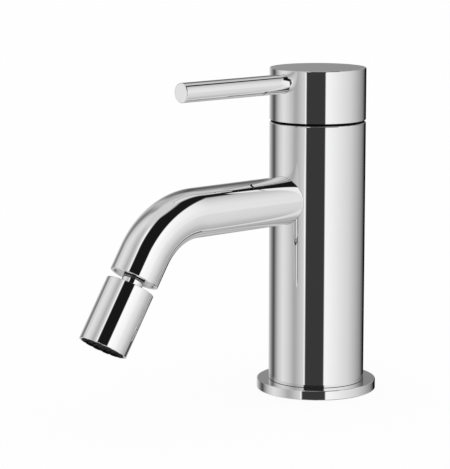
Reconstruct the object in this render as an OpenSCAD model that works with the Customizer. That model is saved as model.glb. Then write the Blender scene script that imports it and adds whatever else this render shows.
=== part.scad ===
// Single-lever bidet mixer with a pin lever and a swivel nozzle.
// Millimetres. The origin is the centre of the base's underside, on the column's axis.
// +Z is up, and +X is the way the spout and the lever point.

/* [Column and base] */
// Outside diameter of the column and the handle cap
body_d = 40; // [38:0.5:46]
// Wall of the column tube
body_wall = 2.5; // [2:0.1:3]
// Height of the column's rim above the deck
body_top = 112.9; // [108:0.1:160]
// Rounding of the column's rim
body_edge = 0.6; // [0.5:0.1:0.8]
// Diameter of the base flange
flange_d = 50; // [47:0.5:65]
// Thickness of the base flange
flange_t = 4; // [3:0.5:8]
// Rounding of the visible edges of the flange, cap and lever
edge_round = 0.4; // [0.2:0.1:0.6]

/* [Handle] */
// Gap between the column and the handle cap
seam = 1.0; // [0.7:0.1:1.5]
// Height of the handle cap
cap_h = 21.4; // [19:0.1:30]
// Thickness of the cap's top
cap_roof = 3.2; // [2:0.1:4]
// How far the lever lifts from closed to fully open, in degrees
lift_angle = 20; // [12:1:21]
// How far the lever turns each way from the middle, in degrees
turn_angle = 45; // [30:1:60]
// Diameter of the lever rod
lever_d = 8; // [7:0.5:10]
// Distance from the column's axis to the lever's end
lever_reach = 74.2; // [60:0.1:120]
// Depth of the lever's axis below the cap's top
lever_drop = 5.7; // [5:0.1:9]
// Diameter of the stud that holds the lever
lever_stud_d = 5; // [4:0.5:5]

/* [Spout] */
// Outside diameter of the spout tube
spout_d = 20; // [18:0.5:22]
// Wall of the spout tube
spout_wall = 1.4; // [1.2:0.1:2]
// Depth of the spout's axis below the column's rim
spout_drop = 31.4; // [30:0.1:50]
// Distance from the column's axis to the start of the bend
spout_run = 67.7; // [45:0.1:120]
// Radius of the bend, to the tube's axis
bend_r = 30; // [24:1:60]
// Angle of the bend, in degrees
bend_angle = 58; // [30:1:80]
// Straight length after the bend
spout_tail = 10.1; // [9:0.1:30]

/* [Nozzle] */
// Gap between the spout's end and the nozzle
nozzle_gap = 3.4; // [3.2:0.1:6]
// Outside diameter of the nozzle
nozzle_d = 19.7; // [19:0.1:24]
// Length of the nozzle's shell
nozzle_l = 26.4; // [25:0.1:40]
// Diameter of the neck between the spout and the nozzle
neck_d = 8.8; // [8.6:0.1:9]
// Diameter of the swivel ball
ball_d = 13; // [12.8:0.1:13.8]
// Depth of the ball's centre below the nozzle's top
ball_depth = 5; // [4.8:0.1:6]
// How far the nozzle tilts from the spout's line, in degrees
swivel_angle = 15; // [8:1:16]
// How far the aerator stands out of the nozzle
aerator_proud = 0.2; // [0.1:0.1:1]

/* [Cartridge] */
// Outside diameter of the cartridge
cartridge_d = 25; // [24:0.5:26]
// Depth of the lever's pivot below the column's rim
pivot_drop = 10; // [9.5:0.5:11]
// Width of the square end of the control stem
stem_w = 6; // [5:0.5:6.5]
// Length of the stem below the pivot, to the centre of its ball
arm_l = 10; // [9.5:0.1:10.5]
// Thickness of each ceramic disc
disc_t = 3.4; // [3:0.1:4]
// Diameter of the pivot pin
pivot_pin_d = 2.5; // [2:0.1:3]

/* [Connections] */
// Bore of the two M10 inlet threads
inlet_d = 8.9; // [8:0.1:9.2]
// Depth of the inlet threads
inlet_depth = 14; // [12:1:20]
// Distance of each inlet from the middle, sideways
inlet_side = 9.2; // [9:0.1:9.8]
// Bore of the M8 thread that takes the fixing stud
fixing_d = 6.8; // [6:0.1:7]
// Depth of the fixing thread
fixing_depth = 16; // [12:1:30]

/* [Fits] */
// Clearance between pieces that sit in each other
fit = 0.05; // [0.03:0.01:0.06]
// Clearance between the cap's skirt and the column as the lever lifts
handle_clear = 0.38; // [0.35:0.01:0.4]

/* [Hidden] */
$fn = 72;

// Colours
chrome = [0.86, 0.87, 0.88];
brass = [0.8, 0.66, 0.36];
steel = [0.62, 0.63, 0.65];
ceramic = [0.95, 0.94, 0.9];
rubber = [0.07, 0.07, 0.08];
plastic = [0.55, 0.57, 0.6];
black = [0.1, 0.1, 0.11];

// Column, flange, spout tube and manifold. The bend is a little thinner than the straight lengths,
// as bending leaves it, and laps into them by a small angle
body_r = body_d / 2;
bore_r = body_r - body_wall;
manifold_r = bore_r - fit;
flange_r = flange_d / 2;
under_chamfer = 0.2;
foot_t = 0.15;
foot_z = flange_t + foot_t;
spout_r = spout_d / 2;
spout_bore = spout_r - spout_wall;
spout_z = body_top - spout_drop;
spout_edge = 0.25;
bend_step = 0.03;
bend_lap = 0.7;
gasket_t = 1.6;
gasket_w = 2.6;
gasket_mid = (bore_r + flange_r) / 2;
seal_cord = 1.6;
gallery_half = spout_r + 0.5;
gallery_r = manifold_r - 2;
seal_offset = gallery_half + 2.5;
waist_r = 11.5;
waist_low = max(inlet_depth, fixing_depth) + 3;
waist_high = spout_z - seal_offset - 4;

// Cartridge, counted from the pivot down and up
pivot_z = body_top - pivot_drop;
cartridge_r = cartridge_d / 2;
housing_wall = 1.5;
chamber_r = cartridge_r - housing_wall;
cup_r = cartridge_r + fit;
film = 0.05;
stem_ball_r = 1.9;
stem_gap = 0.1;
slot_drop = 3.4;
arm_r = 1.5;
arm_gap = 0.3;
arm_back = 0.7;
stroke = arm_l * lift_angle * PI / 180;
guide_r = 8;
guide_shoulder = 2.9;
guide_plate = 3.5;
guide_gap = 0.2;
guide_proud = 1.6;
guide_step = pivot_z - guide_shoulder;
guide_low = guide_step - guide_plate;
carrier_gap = 0.3;
carrier_floor = 0.8;
carrier_entry = 1.4;
carrier_high = guide_low - carrier_gap;
carrier_low = pivot_z - arm_l - stem_ball_r - carrier_floor;
moving_low = carrier_low - disc_t;
fixed_high = moving_low - film;
fixed_low = fixed_high - disc_t;
base_t = 3.85;
base_rim = 1.4;
base_low = fixed_low - base_t;
seat_z = base_low - fit;
rim_z = fixed_low - base_rim;
shoulder_up = 1.1;
neck_up = 11.1;
shoulder_z = pivot_z + shoulder_up;
neck_z = pivot_z + neck_up;
guide_high = neck_z + guide_proud;
disc_gap = 0.25;
disc_r = chamber_r - stroke / 2 - disc_gap;
stop_half = 20;
stop_h = 1.3;
ring_half = 180 - stop_half - turn_angle - 1;

// Ports, pegs and rails of the cartridge, laid out in elevenths of the chamber's radius
eleventh = chamber_r / 11;
rail_y = 7.05 * eleventh;
rail_gap = 0.15;
port_r = 2.6 * eleventh;
port_back = 3.2 * eleventh;
port_side = 6.2 * eleventh;
outlet_x = 6.2 * eleventh;
peg_r = 1.3 * eleventh;
peg_l = 2.4;
peg_at = [4.6 * eleventh, 8.2 * eleventh];
carrier_peg_y = 4.6 * eleventh;
port_cord = 1.5 * eleventh;
port_ring_r = port_r + port_cord / 2;

// Top of the manifold, its nut and the dome over them
nut_rim = 1;
nut_r = cartridge_r + nut_rim;
nut_h = 6;
nut_slot_w = 3;
nut_slot_h = 2;
nut_top = shoulder_z + nut_h;
manifold_top = nut_top + 1;
thread_r = manifold_r - 1.45;
thread_low = shoulder_z + 1;
outlet_z = min(spout_z - spout_bore + port_r, seat_z - port_r - 1.2);
inlet_back = 2.5;
dome_lip = body_r - body_edge;
dome_mouth = 10.3;
dome_t = 0.9;
dome_foot = 0.4;
dome_bevel = [1.9, 1.3];
dome_slope = [5.4, 3.7];
dome_rise = 4.6;

// Handle
rim_h = body_top + seam;
cap_top = rim_h + cap_h;
cap_in = cap_top - cap_roof;
lever_r = lever_d / 2;
lever_z = cap_top - lever_drop;
lever_seat = body_r - 2.7;
stud_r = lever_stud_d / 2;
stud_grip = 11;
boss_r = stem_w / 2 + 3.5;
boss_low = lever_z - 7.6;
stem_top = cap_in - 0.4;
skirt_h = pivot_drop + seam;
corner_h = pivot_drop - body_edge;
skirt_start = asin(skirt_h / norm([corner_h, body_r])) - atan2(corner_h, body_r);
skirt_chamfer = 0.1;
cavity = skirt(lift_angle);

// Nozzle, counted along the spout's end from the ball's centre
ball_at = nozzle_gap + ball_depth;
ball_r = ball_d / 2;
ball_cut = ball_r - 1.5;
ball_bore = 2.4;
neck_r = neck_d / 2;
washer_t = 0.7;
shank_r = neck_r - 0.8;
shank_l = spout_tail - 2;
bush_l = spout_tail - 1;
seat_in = ball_r + fit;
seat_out = ball_r + 0.75;
seat_low = -2.8;
seat_high = -0.6;
seat_swing = seat_out * sin(swivel_angle + asin(seat_high / seat_out)) + 0.4;
socket_r = seat_out + fit;
mouth_r = ball_depth * tan(swivel_angle) + neck_r / cos(swivel_angle) + 0.6;
nozzle_r = nozzle_d / 2;
nozzle_end = nozzle_l - ball_depth;
nozzle_bore = nozzle_r - 1.45;
outlet_bore = nozzle_r - 0.95;
retainer_high = 0.3;
retainer_low = ball_cut + 1.2;
seal_r = 0.8;
seal_angle = 35;
aerator_high = retainer_low + 1.7;
aerator_step = nozzle_end - 5;
aerator_bore = nozzle_bore - 1.2;
grid_high = nozzle_end - 3.4;

// Points of an arc about a centre, from one angle to another
function arc(x, y, r, from, to) =
    [for (i = [0:5]) let (a = from + (to - from) * i / 5) [x + r * cos(a), y + r * sin(a)]];

// Where the column's rim stands in the lifted cap: radius, and height above the cap's lower edge
function skirt(lift) = [
    body_r * cos(lift) - corner_h * sin(lift) + handle_clear,
    corner_h * cos(lift) + body_r * sin(lift) - skirt_h
];

// A plain ring about the Z axis
module ring(r_in, r_out, low, high) {
    rotate_extrude() translate([r_in, low]) square([r_out - r_in, high - low]);
}

// A round cord bent into a ring
module cord_ring(r, z, cord) {
    rotate_extrude() translate([r, z]) circle(d = cord);
}

// A cylinder about the Z axis between two heights
module post(r, low, high) {
    translate([0, 0, low]) cylinder(r = r, h = high - low);
}

// Turns +Z to +X at a height
module along_x(z) {
    translate([0, 0, z]) rotate([0, 90, 0]) children();
}

// Turns +Z to +Y at a height
module along_y(z) {
    translate([0, 0, z]) rotate([-90, 0, 0]) children();
}

// At the three water ports of the cartridge: two inlets behind, one outlet in front
module at_ports() {
    for (side = [-1, 1]) translate([-port_back, side * port_side, 0]) children();
    translate([outlet_x, 0, 0]) children();
}

// At the two pegs that key the cartridge to its seat
module at_pegs() {
    for (side = [-1, 1]) translate([peg_at[0], side * peg_at[1], 0]) children();
}

// At the end of the spout, with +Z along the way the water leaves
module at_spout_end() {
    translate([
        spout_run + bend_r * sin(bend_angle) + spout_tail * cos(bend_angle),
        0,
        spout_z - bend_r * (1 - cos(bend_angle)) - spout_tail * sin(bend_angle)
    ])
    rotate([0, 90 + bend_angle, 0]) children();
}

// At the centre of the swivel ball
module at_ball() {
    at_spout_end() translate([0, 0, ball_at]) children();
}

// The spout's wall as a flat ring, made thinner on both faces by a step
module spout_section(step) {
    difference() {
        circle(spout_r - step);
        circle(spout_bore + step);
    }
}

// Fixed pieces of the base and column

module base_flange() {
    color(chrome) rotate_extrude() polygon(concat(
        [
            [bore_r, 0],
            [gasket_mid - gasket_w / 2, 0],
            [gasket_mid - gasket_w / 2, gasket_t],
            [gasket_mid + gasket_w / 2, gasket_t],
            [gasket_mid + gasket_w / 2, 0],
            [flange_r - under_chamfer, 0],
            [flange_r, under_chamfer]
        ],
        arc(flange_r - edge_round, flange_t - edge_round, edge_round, 0, 90),
        [[bore_r, flange_t]]
    ));
}

module base_gasket() {
    half = gasket_w / 2 - fit;
    color(rubber) ring(gasket_mid - half, gasket_mid + half, 0, gasket_t);
}

// The thin dark ring between the flange and the column tube
module foot_seal() {
    color(rubber) ring(bore_r, body_r - foot_t, flange_t, foot_z);
}

module body_column() {
    color(chrome) difference() {
        rotate_extrude() polygon(concat(
            [[bore_r, foot_z], [body_r, foot_z]],
            arc(body_r - body_edge, body_top - body_edge, body_edge, 0, 90),
            [[bore_r, body_top]]
        ));
        along_x(spout_z) cylinder(r = spout_r + fit, h = body_r + 1);
    }
}

module manifold_outline() {
    low = spout_z - seal_offset;
    high = spout_z + seal_offset;
    half = seal_cord / 2 + 0.1;
    groove_r = manifold_r - seal_cord - fit;
    polygon([
        [0, 0],
        [manifold_r, 0],
        [manifold_r, waist_low],
        [waist_r, waist_low],
        [waist_r, waist_high],
        [manifold_r, waist_high],
        [manifold_r, low - half],
        [groove_r, low - half],
        [groove_r, low + half],
        [manifold_r, low + half],
        [manifold_r, spout_z - gallery_half],
        [gallery_r, spout_z - gallery_half],
        [gallery_r, spout_z + gallery_half],
        [manifold_r, spout_z + gallery_half],
        [manifold_r, high - half],
        [groove_r, high - half],
        [groove_r, high + half],
        [manifold_r, high + half],
        [manifold_r, thread_low],
        [thread_r, thread_low],
        [thread_r, manifold_top],
        [0, manifold_top]
    ]);
}

module waterway_manifold() {
    color(brass) difference() {
        rotate_extrude() manifold_outline();
        post(cup_r, seat_z, manifold_top + 1);
        post(nut_r + fit, shoulder_z - 0.1, manifold_top + 1);
        post(fixing_d / 2, -1, fixing_depth);
        for (side = [-1, 1]) {
            translate([-inlet_back, side * inlet_side, 0]) post(inlet_d / 2, -1, inlet_depth);
            translate([-port_back, side * port_side, 0]) post(port_r, inlet_depth - 3, seat_z + 1);
        }
        translate([outlet_x, 0, 0]) post(port_r, outlet_z, seat_z + 1);
        translate([outlet_x, 0, 0]) along_x(outlet_z) cylinder(r = port_r, h = manifold_r);
        at_pegs() post(peg_r + fit, seat_z - peg_l - 0.3, seat_z + 1);
    }
}

module manifold_seals() {
    color(rubber) for (side = [-1, 1])
        cord_ring(manifold_r - seal_cord / 2, spout_z + side * seal_offset, seal_cord);
}

// Fixed pieces of the cartridge

module cartridge_base() {
    color(plastic) difference() {
        union() {
            post(cartridge_r, base_low, rim_z);
            post(chamber_r - fit, base_low, fixed_low);
            at_pegs() post(peg_r, base_low - peg_l, rim_z);
        }
        at_ports() post(port_r, base_low - 1, fixed_low + 1);
        at_ports() post(port_ring_r + port_cord / 2 + fit, base_low - 1, base_low + port_cord - fit);
    }
}

module port_seals() {
    color(rubber) at_ports() cord_ring(port_ring_r, seat_z + port_cord / 2, port_cord);
}

module fixed_disc() {
    color(ceramic) difference() {
        post(chamber_r - 0.4, fixed_low, fixed_high);
        at_ports() post(port_r, fixed_low - 1, fixed_high + 1);
    }
}

module cartridge_housing() {
    color(plastic) {
        difference() {
            union() {
                post(cartridge_r, rim_z, shoulder_z);
                post(guide_r + housing_wall, shoulder_z - 1, neck_z);
            }
            post(chamber_r, rim_z - 1, guide_step + fit);
            post(guide_r + fit, rim_z, neck_z + 1);
        }
        rotate([0, 0, 180 - stop_half])
            rotate_extrude(angle = 2 * stop_half)
            translate([guide_r + 0.35, neck_z - 1]) square([1.15, 1 + stop_h]);
    }
}

module cartridge_nut() {
    color(brass) difference() {
        ring(guide_r + housing_wall + 0.1, nut_r, shoulder_z, nut_top);
        for (turn = [45, 135]) rotate([0, 0, turn])
            translate([-2 * nut_r, -nut_slot_w / 2, nut_top - nut_slot_h])
            cube([4 * nut_r, nut_slot_w, nut_h]);
    }
}

module dome_cover() {
    color(black) rotate_extrude() polygon([
        [thread_r + fit, thread_low + 0.3],
        [manifold_r, thread_low + 0.3],
        [manifold_r, body_top],
        [dome_lip, body_top],
        [dome_lip, body_top + dome_foot],
        [dome_lip - dome_bevel[0], body_top + dome_bevel[1]],
        [dome_lip - dome_slope[0], body_top + dome_slope[1]],
        [dome_mouth, body_top + dome_rise],
        [dome_mouth, body_top + dome_rise - dome_t],
        [dome_lip - dome_slope[0] - dome_t / 2, body_top + dome_slope[1] - dome_t],
        [thread_r + fit, body_top + dome_t]
    ]);
}

// Pieces that turn with the lever

module stem_guide() {
    slot_half = stem_w / 2 + stem_gap;
    arm_half = arm_r + arm_gap;
    plate_r = chamber_r - guide_gap;
    color(plastic) difference() {
        union() {
            post(guide_r, guide_low, guide_high);
            post(plate_r, guide_low, guide_step);
            intersection() {
                post(plate_r, carrier_low + carrier_floor / 2, guide_low + 1);
                for (turn = [0, 180]) rotate([0, 0, turn])
                    translate([-cartridge_r, rail_y, carrier_low - 1]) cube(cartridge_d);
            }
        }
        translate([-chamber_r, -slot_half, pivot_z - slot_drop])
            cube([chamber_r + stem_w / 2 + arm_gap, 2 * slot_half, cartridge_d]);
        translate([-arm_r - arm_back, -arm_half, guide_low - 1])
            cube([2 * arm_r + arm_back + stroke, 2 * arm_half, guide_plate + 2]);
        along_y(pivot_z) cylinder(d = pivot_pin_d + 0.02, h = 4 * guide_r, center = true);
    }
}

module limit_ring() {
    color([0.75, 0.12, 0.1])
        rotate([0, 0, -ring_half])
        rotate_extrude(angle = 2 * ring_half)
        translate([guide_r + fit, neck_z + fit]) square([1.3, stop_h - 2 * fit]);
}

module pivot_pin() {
    color(steel) along_y(pivot_z) cylinder(d = pivot_pin_d, h = 2 * guide_r - 1, center = true);
}

module control_stem() {
    blade = stem_w - 1;
    eye_r = stem_w / 2;
    color(steel) difference() {
        union() {
            translate([-blade / 2, -stem_w / 2, pivot_z]) cube([blade, stem_w, boss_low - pivot_z]);
            translate([-stem_w / 2, -stem_w / 2, boss_low - 2])
                cube([stem_w, stem_w, stem_top - boss_low + 2]);
            along_y(pivot_z) cylinder(r = eye_r, h = stem_w, center = true);
            post(arm_r, pivot_z - arm_l, pivot_z);
            translate([0, 0, pivot_z - arm_l]) sphere(stem_ball_r);
        }
        along_y(pivot_z) cylinder(d = pivot_pin_d + 2 * fit, h = 2 * stem_w, center = true);
    }
}

// Pieces that slide as the lever lifts

module disc_carrier() {
    room = stem_ball_r + carrier_floor / 4;
    ball_z = pivot_z - arm_l;
    color(black) difference() {
        union() {
            intersection() {
                translate([-stroke / 2, 0, 0]) post(disc_r, carrier_low, carrier_high);
                translate([-cartridge_r, rail_gap - rail_y, carrier_low])
                    cube([cartridge_d, 2 * (rail_y - rail_gap), cartridge_d]);
            }
            at_carrier_pegs() post(peg_r, carrier_low - 1.4, carrier_low + 1);
        }
        post(room, ball_z - room, carrier_high + 1);
        translate([-room - carrier_entry, -room, ball_z])
            cube([2 * room + carrier_entry, 2 * room, arm_l]);
    }
}

// At the two pegs that carry the moving disc
module at_carrier_pegs() {
    for (side = [-1, 1]) translate([-stroke / 2, side * carrier_peg_y, 0]) children();
}

module moving_disc() {
    color(ceramic) difference() {
        translate([-stroke / 2, 0, 0]) post(disc_r, moving_low, carrier_low);
        translate([-stroke / 2 + 1.5, 0, 0]) post(disc_r - 4 * eleventh, moving_low - 1, moving_low + 1.4);
        at_carrier_pegs() post(peg_r + fit, carrier_low - 1.6, carrier_low + 1);
    }
}

// Pieces that lift with the lever

module handle_cap() {
    edge = [for (i = [0:8]) skirt(skirt_start + (lift_angle - skirt_start) * (1 - i / 8))];
    color(chrome) translate([0, 0, rim_h]) difference() {
        union() {
            rotate_extrude() polygon(concat(
                [[body_r - skirt_chamfer, 0], [body_r, skirt_chamfer]],
                arc(body_r - edge_round, cap_h - edge_round, edge_round, 0, 90),
                [[0, cap_h], [0, cap_in - rim_h], [cavity[0], cap_in - rim_h]],
                edge
            ));
            post(boss_r, boss_low - rim_h, cap_in - rim_h + 1);
        }
        translate([-stem_w / 2 - fit, -stem_w / 2 - fit, 0])
            cube([stem_w + 2 * fit, stem_w + 2 * fit, stem_top - rim_h + 0.2]);
        translate([lever_seat, 0, 0]) along_x(lever_z - rim_h) cylinder(r = lever_r + fit, h = body_r);
        along_x(lever_z - rim_h) cylinder(r = stud_r + fit, h = body_r);
    }
}

module lever_rod() {
    length = lever_reach - lever_seat;
    color(chrome) translate([lever_seat, 0, 0]) along_x(lever_z) difference() {
        rotate_extrude() polygon(concat(
            [[0, 0], [lever_r, 0]],
            arc(lever_r - edge_round, length - edge_round, edge_round, 0, 90),
            [[0, length]]
        ));
        post(stud_r + fit, -1, stud_grip + 0.5);
    }
}

module lever_stud() {
    tip = stem_w / 2 + fit;
    color(steel) translate([tip, 0, 0]) along_x(lever_z)
        cylinder(r = stud_r, h = lever_seat + stud_grip - tip);
}

// Fixed pieces of the spout

module spout_tube() {
    color(chrome) {
        difference() {
            along_x(spout_z) linear_extrude(spout_run) spout_section(0);
            post(bore_r, 0, body_top);
        }
        translate([spout_run, 0, spout_z - bend_r])
            rotate([90, 0, 0])
            rotate([0, 0, 90 - bend_angle - bend_lap])
            rotate_extrude(angle = bend_angle + 2 * bend_lap)
            translate([bend_r, 0]) spout_section(bend_step);
        at_spout_end() rotate_extrude() polygon([
            [spout_bore, -spout_tail],
            [spout_r, -spout_tail],
            [spout_r, -spout_edge],
            [spout_r - spout_edge, 0],
            [spout_bore, 0]
        ]);
    }
}

module spout_bush() {
    color(chrome) at_spout_end() ring(shank_r + fit, spout_bore - fit, -bush_l, -washer_t);
}

module neck_washer() {
    color(rubber) at_spout_end() ring(shank_r + fit, neck_r, -washer_t, 0);
}

module swivel_ball() {
    color(chrome) at_ball() rotate_extrude() intersection() {
        union() {
            circle(ball_r);
            translate([0, -ball_at]) square([neck_r, ball_at]);
            translate([0, -ball_at - shank_l]) square([shank_r, shank_l + 2]);
        }
        translate([ball_bore, -60]) square([20, 60 + ball_cut]);
    }
}

// Pieces that turn and tilt with the nozzle

module ball_seat() {
    color([0.92, 0.92, 0.9]) at_ball() rotate_extrude() intersection() {
        difference() {
            circle(seat_out);
            circle(seat_in);
        }
        translate([1, seat_low]) square([ball_d, seat_high - seat_low]);
    }
}

module nozzle_shell() {
    color(chrome) at_ball() rotate_extrude() difference() {
        polygon(concat(
            arc(nozzle_r - 0.25, nozzle_end - 0.25, 0.25, 90, 0),
            arc(nozzle_r - 0.25, 0.25 - ball_depth, 0.25, 0, -90),
            [[0, -ball_depth], [0, nozzle_end]]
        ));
        circle(socket_r);
        translate([-1, -ball_depth - 1]) square([mouth_r + 1, ball_depth]);
        translate([-1, 0]) square([nozzle_bore + 1, nozzle_end + 1]);
        translate([-1, aerator_step - fit]) square([outlet_bore + 1, nozzle_end]);
    }
}

module ball_retainer() {
    seal_far = ball_r + seal_r;
    color(brass) at_ball() rotate_extrude() difference() {
        translate([ball_cut - 0.8, retainer_high])
            square([nozzle_bore - fit - ball_cut + 0.8, retainer_low - retainer_high]);
        circle(ball_r + 0.1);
        intersection() {
            circle(socket_r);
            translate([0, -seat_swing]) square([socket_r, 2 * seat_swing]);
        }
        translate([seal_far * cos(seal_angle), seal_far * sin(seal_angle)]) circle(seal_r + fit);
    }
}

module ball_seal() {
    seal_far = ball_r + seal_r + 0.02;
    color(rubber) at_ball() cord_ring(seal_far * cos(seal_angle), seal_far * sin(seal_angle), 2 * seal_r);
}

module aerator_washer() {
    color(rubber) at_ball() ring(ball_cut, nozzle_bore - fit, retainer_low + fit, aerator_high - fit);
}

module aerator_body() {
    notches = 14;
    jets = 12;
    color(black) at_ball() difference() {
        rotate_extrude() polygon([
            [0, aerator_high],
            [nozzle_bore - fit, aerator_high],
            [nozzle_bore - fit, aerator_step],
            [outlet_bore - fit, aerator_step],
            [outlet_bore - fit, nozzle_end + aerator_proud],
            [aerator_bore, nozzle_end + aerator_proud],
            [aerator_bore, aerator_high + 1.5],
            [0, aerator_high + 1.5]
        ]);
        for (i = [0:jets - 1]) rotate([0, 0, i * 360 / jets])
            translate([aerator_bore - 2, 0, 0]) post(0.6, aerator_high - 1, aerator_high + 3);
        for (i = [0:notches - 1]) rotate([0, 0, i * 360 / notches])
            translate([aerator_bore - 1, -0.7, nozzle_end]) cube([6, 1.4, 6]);
    }
}

// A thin round plate with a field of holes
module sieve(low, high, pitch, hole, sides) {
    reach = aerator_bore - fit;
    steps = floor(reach / pitch);
    row = pitch * sqrt(3) / 2;
    translate([0, 0, low]) linear_extrude(high - low) difference() {
        circle(reach);
        for (i = [-steps - 1:steps + 1]) for (j = [-steps - 1:steps + 1])
            let (x = pitch * (i + abs(j) % 2 / 2), y = row * j)
            if (norm([x, y]) < reach - hole) translate([x, y]) rotate(30) circle(d = hole, $fn = sides);
    }
}

module aerator_screens() {
    color(steel) at_ball() for (step = [0:1]) translate([0, 0, aerator_high + 2.4 + 1.4 * step])
        sieve(0, 0.5, 1.7, 1.1, 6);
}

module flow_grid() {
    color(black) at_ball() sieve(grid_high, nozzle_end - 0.4, 2, 1.7, 6);
}

base_flange();
base_gasket();
foot_seal();
body_column();
waterway_manifold();
manifold_seals();
cartridge_base();
port_seals();
fixed_disc();
cartridge_housing();
cartridge_nut();
dome_cover();
stem_guide();
limit_ring();
pivot_pin();
control_stem();
disc_carrier();
moving_disc();
handle_cap();
lever_rod();
lever_stud();
spout_tube();
spout_bush();
neck_washer();
swivel_ball();
ball_seat();
nozzle_shell();
ball_retainer();
ball_seal();
aerator_washer();
aerator_body();
aerator_screens();
flow_grid();
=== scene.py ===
import math

import bpy
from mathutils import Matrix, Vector


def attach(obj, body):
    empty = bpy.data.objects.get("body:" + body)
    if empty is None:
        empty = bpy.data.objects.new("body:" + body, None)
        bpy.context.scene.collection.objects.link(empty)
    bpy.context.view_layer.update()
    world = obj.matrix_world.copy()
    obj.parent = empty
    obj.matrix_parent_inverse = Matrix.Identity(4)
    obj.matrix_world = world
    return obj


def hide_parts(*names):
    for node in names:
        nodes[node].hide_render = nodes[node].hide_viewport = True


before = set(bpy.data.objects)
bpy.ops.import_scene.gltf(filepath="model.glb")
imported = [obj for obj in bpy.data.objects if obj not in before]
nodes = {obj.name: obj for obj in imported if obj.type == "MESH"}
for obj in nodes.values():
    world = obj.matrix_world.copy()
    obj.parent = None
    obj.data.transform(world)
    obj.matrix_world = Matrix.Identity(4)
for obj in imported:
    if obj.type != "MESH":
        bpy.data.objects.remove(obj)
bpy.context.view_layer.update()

# Camera: place in metres, heading and pitch in degrees, lens and sensor in millimetres
CAMERA_AT = (0.60799, 0.63261, 0.21517)
CAMERA_HEADING = -131.3512
CAMERA_PITCH = -9.7108
CAMERA_LENS = 163.06
CAMERA_SENSOR = 36.0
CAMERA_NEAR = 0.01
CAMERA_FAR = 50.0

# Studio: heading of the set's front, which is the camera's side, in degrees from +X
SET_FRONT = 46.5

# Light round the set, as (heading from the front in degrees, level) at five heights
RING_UNDER = (
    (-180, 0.28), (-172, 0.45), (-160, 0.58), (-140, 0.42), (-118, 0.47), (-86, 0.72), (-63, 0.50),
    (-50, 0.38), (-35, 0.47), (-20, 0.52), (10, 0.50), (29, 0.73), (48, 0.88), (72, 0.74), (84, 0.72),
    (94, 0.65), (104, 0.53), (125, 0.40), (133, 0.27), (140, 0.02), (151, 0.02), (156, 0.30),
    (160, 0.55), (171, 0.50), (180, 0.28),
)
RING_LOW = (
    (-180, 0.52), (-172, 0.55), (-164, 0.69), (-152, 0.50), (-141, 0.27), (-130, 0.085), (-126, 0.095),
    (-118, 0.31), (-109, 0.55), (-100, 0.72), (-92, 0.82), (-86, 0.82), (-74, 0.72), (-63, 0.57),
    (-57, 0.45), (-51, 0.45), (-41, 0.60), (-31, 0.73), (-29.6, 1.05), (19, 1.05), (30, 1.01),
    (59, 0.86), (83, 0.73), (96, 0.61), (112, 0.47), (132, 0.28), (146, 0.075), (151, 0.004),
    (168, 0.004), (174, 0.40), (180, 0.52),
)
RING_MID = (
    (-180, 0.31), (-172, 0.42), (-164, 0.66), (-152, 0.50), (-141, 0.27), (-130, 0.12), (-126, 0.16),
    (-118, 0.40), (-109, 0.60), (-100, 0.72), (-92, 0.80), (-86, 0.79), (-74, 0.68), (-63, 0.54),
    (-57, 0.44), (-51, 0.44), (-41, 0.58), (-31, 0.73), (-29.6, 1.05), (19, 1.05), (38, 0.99),
    (59, 0.92), (84, 0.80), (96, 0.68), (115, 0.46), (132, 0.26), (146, 0.08), (151, 0.012),
    (166, 0.012), (174, 0.24), (180, 0.31),
)
RING_HIGH = (
    (-180, 0.08), (-172, 0.17), (-164, 0.22), (-157.5, 0.50), (-152, 0.46), (-146, 0.27), (-139, 0.18),
    (-131, 0.29), (-122, 0.58), (-100, 0.76), (-88, 0.73), (-74, 0.63), (-63, 0.51), (-52, 0.42),
    (-42, 0.56), (-33, 0.70), (-30, 1.0), (18, 1.0), (50, 0.98), (74, 0.89), (84, 0.82), (96, 0.70),
    (106, 0.58), (115, 0.45), (122, 0.34), (129, 0.22), (136, 0.28), (150, 0.54), (162, 0.54),
    (168, 0.28), (180, 0.08),
)
RING_TOP = (
    (-180, 0.45), (-172, 0.45), (-147, 0.46), (-138, 0.30), (-131, 0.33), (-124, 0.57), (-118, 0.64),
    (-92, 0.74), (-68, 0.55), (-52, 0.46), (-33, 0.70), (-30, 1.0), (50, 0.98), (74, 0.92), (98, 0.70),
    (110, 0.55), (134, 0.64), (165, 0.56), (180, 0.45),
)

# Heights between which each ring takes over from the one below, as the upward part of a direction
RING_BLENDS = (
    (RING_LOW, -0.40, -0.30),
    (RING_MID, -0.10, 0.02),
    (RING_HIGH, 0.20, 0.32),
    (RING_TOP, 0.62, 0.76),
)
ZENITH_LEVEL = 0.64
ZENITH_BLEND = (0.84, 0.96)

# Two dark cards at the front, one above the other. A left or right edge, as the camera sees it, is a heading
# from the front, a lean and a softness; a foot or top is the pair of heights where the card comes or goes.
# The cards stand close, so light mirrored again, at a second piece, meets other edges
LOW_CARD_LEVEL = 0.044
LOW_CARD_LEFT = (-27.5, 0.0, 0.03)
LOW_CARD_RIGHT = (18.0, 0.0, 0.03)
LOW_CARD_FOOT = (-0.46, -0.36)
LOW_CARD_FOOT_AGAIN = (-0.722, -0.700)
LOW_CARD_TOP = (0.14, 0.20)
HIGH_CARD_LEVEL = 0.009
HIGH_CARD_LEFT = (-32.6, -0.162, 0.05)
HIGH_CARD_LEFT_AGAIN = (-27.5, 0.2, 0.03)
HIGH_CARD_RIGHT = (9.1, -0.89, 0.03)
HIGH_CARD_RIGHT_AGAIN = (18.0, -0.114, 0.03)
HIGH_CARD_FOOT = (0.12, 0.18)
HIGH_CARD_TOP = (0.95, 0.985)
CARD_LEVELS_BLEND = (0.17, 0.29)

# Ray depths between which light counts as mirrored again: 2 is the first mirroring and 3 the second
AGAIN_DEPTH = (2.2, 2.8)

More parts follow.
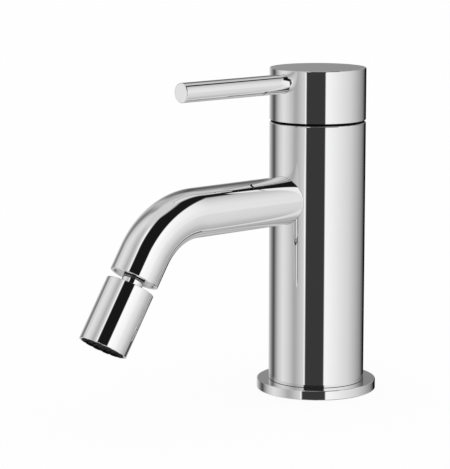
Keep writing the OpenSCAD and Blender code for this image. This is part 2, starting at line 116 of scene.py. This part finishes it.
# Floor: half its side and its depth below the part in metres, colour, and share of plain white for the camera
FLOOR_HALF = 4.0
FLOOR_DROP = 0.0001
FLOOR_COLOUR = (0.98, 0.98, 0.98, 1)
FLOOR_WHITE = 0.9

# Finishes: dark and light colour, least and most roughness, metal or not, grains per metre, relief's strength
FINISHES = {
    "chrome": ((0.86, 0.86, 0.865), (0.88, 0.88, 0.885), (0.015, 0.035), 1.0, 300.0, 0.0015),
    # Lighter copy of the chrome: painted light for the brighter reflections of the spout, lever, ball and
    # nozzle
    "chrome_painted_bright": ((0.96, 0.96, 0.965), (0.98, 0.98, 0.985), (0.015, 0.035), 1.0, 300.0, 0.0015),
    "satin": ((0.78, 0.78, 0.785), (0.84, 0.84, 0.845), (0.15, 0.21), 1.0, 500.0, 0.02),
    "brass": ((0.70, 0.50, 0.22), (0.80, 0.61, 0.30), (0.25, 0.40), 1.0, 500.0, 0.05),
    "steel": ((0.50, 0.50, 0.51), (0.62, 0.62, 0.63), (0.22, 0.36), 1.0, 500.0, 0.05),
    "rubber": ((0.012, 0.012, 0.013), (0.024, 0.024, 0.026), (0.55, 0.75), 0.0, 900.0, 0.15),
    "ceramic": ((0.78, 0.76, 0.72), (0.86, 0.85, 0.81), (0.12, 0.22), 0.0, 600.0, 0.02),
    "grey_plastic": ((0.22, 0.23, 0.25), (0.27, 0.28, 0.30), (0.35, 0.5), 0.0, 700.0, 0.08),
    "red_plastic": ((0.42, 0.02, 0.015), (0.52, 0.03, 0.02), (0.35, 0.5), 0.0, 700.0, 0.08),
    "white_plastic": ((0.74, 0.74, 0.72), (0.82, 0.82, 0.80), (0.3, 0.45), 0.0, 700.0, 0.08),
    "black_plastic": ((0.003, 0.003, 0.003), (0.007, 0.007, 0.008), (0.42, 0.58), 0.0, 800.0, 0.1),
}
# Black plastic is duller than the shader's own shine
DULL = {"black_plastic": {"Specular IOR Level": 0.06}}
# Mottling of a finish: size of its broad part beside the fine one, detail and share of each, range that is
# shown, and depth of the relief in metres
BROAD_RATIO = 14
FINE_DETAIL = 4.0
BROAD_DETAIL = 3.0
FINE_SHARE = 0.4
BROAD_SHARE = 0.6
MOTTLE_LOW = 0.3
MOTTLE_HIGH = 0.7
RELIEF_DEPTH = 0.0002

# The spout tube, lever, ball and nozzle take a lighter copy of the chrome. This is painted light that stands
# in for the brighter light they mirror, not a different plating.
# The bush in the spout's end isn't polished
PAINTED_BRIGHT_NODES = ("lever_rod", "swivel_ball", "nozzle_shell")
SATIN_NODES = ("spout_bush",)

# Spout tube, in metres and degrees: radius, bore, edge, height of its axis, run, straight end, bend, the bore
# of the column that it ends at, and steps round it
TUBE_R = 0.0100
TUBE_BORE = 0.0086
TUBE_EDGE = 0.00025
TUBE_Z = 0.0815
TUBE_RUN = 0.0677
TUBE_TAIL = 0.0101
BEND_R = 0.030
BEND_ANGLE = 58
COLUMN_BORE = 0.0175
ROUND_STEPS = 120


def make_camera():
    heading = math.radians(CAMERA_HEADING)
    pitch = math.radians(CAMERA_PITCH)
    ahead = Vector((
        math.cos(pitch) * math.cos(heading),
        math.cos(pitch) * math.sin(heading),
        math.sin(pitch),
    ))
    data = bpy.data.cameras.new("camera")
    data.lens = CAMERA_LENS
    data.sensor_width = CAMERA_SENSOR
    data.clip_start = CAMERA_NEAR
    data.clip_end = CAMERA_FAR
    camera = bpy.data.objects.new("camera", data)
    camera.location = CAMERA_AT
    camera.rotation_mode = "QUATERNION"
    camera.rotation_quaternion = ahead.to_track_quat("-Z", "Y")
    bpy.context.scene.collection.objects.link(camera)
    bpy.context.scene.camera = camera


class Tree:
    """Adds nodes to a node tree and puts values or links on their inputs."""

    def __init__(self, tree):
        self.tree = tree
        tree.nodes.clear()

    def put(self, socket, value):
        if isinstance(value, bpy.types.NodeSocket):
            self.tree.links.new(value, socket)
        else:
            socket.default_value = value

    def add(self, kind, inputs=None, **settings):
        node = self.tree.nodes.new(kind)
        for name, value in settings.items():
            setattr(node, name, value)
        for key, value in (inputs or {}).items():
            self.put(node.inputs[key], value)
        return node

    def math(self, operation, a, b=0.0, c=0.0):
        return self.add("ShaderNodeMath", {0: a, 1: b, 2: c}, operation=operation).outputs[0]

    def step(self, value, low, high, to_low=0.0, to_high=1.0, kind="SMOOTHSTEP"):
        inputs = {0: value, 1: low, 2: high, 3: to_low, 4: to_high}
        return self.add("ShaderNodeMapRange", inputs, interpolation_type=kind).outputs[0]

    def mix(self, factor, a, b):
        return self.add("ShaderNodeMix", {0: factor, 2: a, 3: b}, data_type="FLOAT").outputs[0]

    def ramp(self, value, stops):
        """A colour ramp through (place, colour) stops, where a colour can be one grey level."""
        node = self.add("ShaderNodeValToRGB", {0: value})
        elements = node.color_ramp.elements
        while len(elements) > 1:
            elements.remove(elements[-1])
        for i, (place, level) in enumerate(stops):
            element = elements[0] if i == 0 else elements.new(place)
            element.position = place
            element.color = (level, level, level, 1.0) if isinstance(level, float) else (*level, 1.0)
        return node.outputs[0]


def make_world():
    """The set as light by direction, with plain white for the camera and for diffuse light."""
    world = bpy.data.worlds.new("studio")
    bpy.context.scene.world = world
    world.use_nodes = True
    t = Tree(world.node_tree)
    direction = t.add("ShaderNodeTexCoord").outputs["Generated"]
    xyz = t.add("ShaderNodeSeparateXYZ", {0: direction}).outputs
    up = xyz[2]
    turn = t.math("ARCTAN2", xyz[1], xyz[0])
    turn = t.math("SUBTRACT", turn, math.radians(SET_FRONT))
    turn = t.math("WRAP", turn, math.pi, -math.pi)
    place = t.step(turn, -math.pi, math.pi, kind="LINEAR")

    def ring(stops):
        return t.ramp(place, [((a + 180) / 360, level) for a, level in stops])

    def side(heading, lean, soft):
        """1 past a straight edge that crosses the horizon at a heading, 0 before it."""
        a = math.radians(heading + SET_FRONT)
        normal = Vector((-math.sin(a), math.cos(a), lean)).normalized()
        inputs = {0: direction, 1: normal}
        dot = t.add("ShaderNodeVectorMath", inputs, operation="DOT_PRODUCT").outputs["Value"]
        return t.step(dot, -soft, soft)

    def both(a, b):
        return t.math("MULTIPLY", a, b)

    def outside(a):
        return t.math("SUBTRACT", 1.0, a)

    level = ring(RING_UNDER)
    for stops, start, full in RING_BLENDS:
        level = t.mix(t.step(up, start, full), level, ring(stops))
    level = t.mix(t.step(up, *ZENITH_BLEND), level, ZENITH_LEVEL)

    rays = t.add("ShaderNodeLightPath").outputs
    again = t.step(rays["Ray Depth"], *AGAIN_DEPTH)
    low = both(side(*LOW_CARD_LEFT), outside(side(*LOW_CARD_RIGHT)))
    low = both(low, outside(t.step(up, *LOW_CARD_TOP)))
    foot = [t.mix(again, a, b) for a, b in zip(LOW_CARD_FOOT, LOW_CARD_FOOT_AGAIN)]
    low = both(low, t.step(up, *foot))
    level = t.mix(low, level, LOW_CARD_LEVEL)
    high = both(side(*HIGH_CARD_LEFT), outside(side(*HIGH_CARD_RIGHT)))
    high_again = both(side(*HIGH_CARD_LEFT_AGAIN), outside(side(*HIGH_CARD_RIGHT_AGAIN)))
    high = t.mix(again, high, high_again)
    high = both(high, t.step(up, *HIGH_CARD_FOOT))
    high = both(high, outside(t.step(up, *HIGH_CARD_TOP)))
    card_level = t.step(up, *CARD_LEVELS_BLEND, LOW_CARD_LEVEL, HIGH_CARD_LEVEL)
    level = t.mix(high, level, card_level)

    level = t.mix(rays["Is Diffuse Ray"], level, 1.0)
    level = t.mix(rays["Is Camera Ray"], level, 1.0)
    background = t.add("ShaderNodeBackground", {"Color": (1, 1, 1, 1), "Strength": level})
    t.add("ShaderNodeOutputWorld", {"Surface": background.outputs[0]})


def make_floor():
    """A white floor that takes the part's shadow and isn't mirrored in its chrome."""
    half = FLOOR_HALF
    mesh = bpy.data.meshes.new("floor")
    corners = [(-half, -half, 0), (half, -half, 0), (half, half, 0), (-half, half, 0)]
    mesh.from_pydata(corners, [], [(0, 1, 2, 3)])
    floor = bpy.data.objects.new("floor", mesh)
    floor.location.z = -FLOOR_DROP
    bpy.context.scene.collection.objects.link(floor)
    floor.visible_glossy = False
    material = bpy.data.materials.new("floor_white")
    material.use_nodes = True
    t = Tree(material.node_tree)
    diffuse = t.add("ShaderNodeBsdfDiffuse", {"Color": FLOOR_COLOUR})
    white = t.add("ShaderNodeEmission", {"Color": (1, 1, 1, 1), "Strength": 1.0})
    camera_ray = t.add("ShaderNodeLightPath").outputs["Is Camera Ray"]
    share = t.math("MULTIPLY", camera_ray, FLOOR_WHITE)
    shader = t.add("ShaderNodeMixShader", {0: share, 1: diffuse.outputs[0], 2: white.outputs[0]})
    t.add("ShaderNodeOutputMaterial", {"Surface": shader.outputs[0]})
    mesh.materials.append(material)


def make_finish(name, dark, light, rough, metallic, grain, bump):
    """A finish with fine mottling in its colour, roughness and relief."""
    material = bpy.data.materials.new(name)
    material.use_nodes = True
    t = Tree(material.node_tree)
    place = t.add("ShaderNodeTexCoord").outputs["Object"]

    def noise(scale, detail):
        return t.add("ShaderNodeTexNoise", {"Vector": place, "Scale": scale, "Detail": detail}).outputs[0]

    fine = noise(grain, FINE_DETAIL)
    broad = noise(grain / BROAD_RATIO, BROAD_DETAIL)
    mottle = t.math("ADD", t.math("MULTIPLY", fine, FINE_SHARE), t.math("MULTIPLY", broad, BROAD_SHARE))
    relief = t.add("ShaderNodeBump", {"Strength": bump, "Distance": RELIEF_DEPTH, "Height": fine})
    shader = t.add("ShaderNodeBsdfPrincipled", {
        "Base Color": t.ramp(mottle, [(MOTTLE_LOW, dark), (MOTTLE_HIGH, light)]),
        "Roughness": t.step(mottle, MOTTLE_LOW, MOTTLE_HIGH, *rough, kind="LINEAR"),
        "Normal": relief.outputs[0],
        "Metallic": metallic,
        **DULL.get(name, {}),
    })
    t.add("ShaderNodeOutputMaterial", {"Surface": shader.outputs[0]})
    return material


def dress(materials):
    for name, node in nodes.items():
        finish = node.data.materials[0].name.split(".")[0]
        if name in SATIN_NODES:
            finish = "satin"
        # These pieces take the lighter chrome copy, which is painted light
        elif name in PAINTED_BRIGHT_NODES:
            finish = "chrome_painted_bright"
        node.data.materials[0] = materials[finish]


def make_piece(name, points, faces, normals, material, body):
    """A mesh piece with its own normal at each corner of each face."""
    mesh = bpy.data.meshes.new(name)
    mesh.from_pydata(points, [], faces)
    mesh.materials.append(material)
    mesh.shade_smooth()
    mesh.normals_split_custom_set(normals)
    piece = bpy.data.objects.new(name, mesh)
    bpy.context.scene.collection.objects.link(piece)
    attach(piece, body)
    return piece


def make_spout(material, inside):
    """The spout as one closed tube without a step at its bend, with the chamfer of the tube's end."""
    rings = [(Vector((0, 0, TUBE_Z)), 0.0), (Vector((TUBE_RUN, 0, TUBE_Z)), 0.0)]
    for degree in range(1, BEND_ANGLE + 1):
        a = math.radians(degree)
        x = TUBE_RUN + BEND_R * math.sin(a)
        z = TUBE_Z - BEND_R * (1 - math.cos(a))
        rings.append((Vector((x, 0, z)), a))
    bent, a = rings[-1]
    ahead = Vector((math.cos(a), 0, -math.sin(a)))
    end = bent + ahead * TUBE_TAIL
    # Rows of points along the outside, over the end and back along the bore: centre, slope, radius, tilt of
    # the normal from the tube's side to its end face before and after the row, in degrees
    rows = [(centre, slope, TUBE_R, 0, 0) for centre, slope in rings]
    rows.append((end - ahead * TUBE_EDGE, a, TUBE_R, 0, 45))
    rows.append((end, a, TUBE_R - TUBE_EDGE, 45, 90))
    bore_row = len(rows)
    rows.append((end, a, TUBE_BORE, 90, 180))
    rows += [(centre, slope, TUBE_BORE, 180, 180) for centre, slope in reversed(rings)]
    # The strip from the last row to the first closes the tube at the column's bore
    rows[0] = (*rows[0][:3], 270, 0)
    rows[-1] = (*rows[-1][:3], 180, 270)
    points = []
    for centre, slope, r, _, _ in rows:
        for k in range(ROUND_STEPS):
            turn = 2 * math.pi * k / ROUND_STEPS
            y = r * math.sin(turn)
            out = r * math.cos(turn)
            point = centre + Vector((out * math.sin(slope), y, out * math.cos(slope)))
            if centre.x == 0:
                point.x = math.sqrt(COLUMN_BORE ** 2 - y ** 2)
            points.append(point)

    def normal(row, k, tilt):
        slope = rows[row][1]
        turn = 2 * math.pi * k / ROUND_STEPS
        side = Vector((math.cos(turn) * math.sin(slope), math.sin(turn), math.cos(turn) * math.cos(slope)))
        face = Vector((math.cos(slope), 0, -math.sin(slope)))
        tilt = math.radians(tilt)
        return side * math.cos(tilt) + face * math.sin(tilt)

    faces = []
    normals = []
    for row in range(len(rows)):
        following = (row + 1) % len(rows)
        before = rows[row][4]
        after = rows[following][3]
        for k in range(ROUND_STEPS):
            m = (k + 1) % ROUND_STEPS
            corners = ((row, k, before), (following, k, after), (following, m, after), (row, m, before))
            faces.append([r * ROUND_STEPS + i for r, i, _ in corners])
            normals += [normal(*corner) for corner in corners]
    spout = make_piece("spout", points, faces, normals, material, "body")
    spout.data.materials.append(inside)
    for polygon in spout.data.polygons[bore_row * ROUND_STEPS:]:
        polygon.material_index = 1
    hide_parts("spout_tube")


make_camera()
make_world()
make_floor()
finishes = {name: make_finish(name, *values) for name, values in FINISHES.items()}
dress(finishes)
# The spout takes the lighter chrome copy (painted light) outside and the satin finish in its bore
make_spout(finishes["chrome_painted_bright"], finishes["satin"])

bpy.context.scene.view_settings.view_transform = "Standard"
